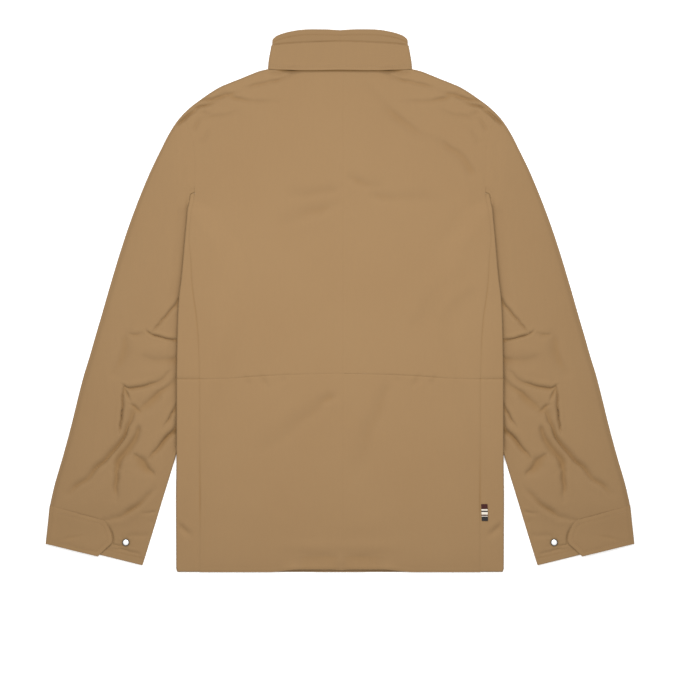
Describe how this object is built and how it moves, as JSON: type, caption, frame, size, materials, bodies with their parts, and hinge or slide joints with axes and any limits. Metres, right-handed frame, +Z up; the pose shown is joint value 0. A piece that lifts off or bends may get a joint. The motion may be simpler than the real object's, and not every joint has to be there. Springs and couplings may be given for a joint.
{
  "type": "field jacket",
  "caption": "Hip-length field jacket laid flat on its front: standing collar with a back flap, set-in sleeves with buttoned-down cuff tabs, waist seam and side label.",
  "frame": {"origin": "under the middle of the jacket, on the surface it lies on", "axes": "+X to the jacket's right as its back is seen, +Y from the hem to the collar, +Z up, out of the back"},
  "size_m": [0.8838, 0.8135, 0.0101],
  "materials": {
    "shell": "matte tan cotton-blend poplin with a faint dry sheen",
    "collar": "the same tan cloth, stiffened",
    "snap": "bright silver snap cap with a rim",
    "label": "woven tab with dark, cream and burgundy stripes"
  },
  "bodies": {
    "root": {"back_upper_left": "shell", "back_upper_right": "shell", "back_skirt_left": "shell", "back_skirt_right": "shell", "front_upper_left": "shell", "front_upper_right": "shell", "front_skirt_left": "shell", "front_skirt_right": "shell", "fly_flap": "shell", "sleeve_left": "shell", "sleeve_right": "shell", "cuff_tab_left": "shell", "cuff_tab_right": "shell", "snap_left": "snap", "snap_right": "snap", "collar_stand": "collar", "collar_flap": "collar", "label_tab": "label"}
  },
  "joints": []
}
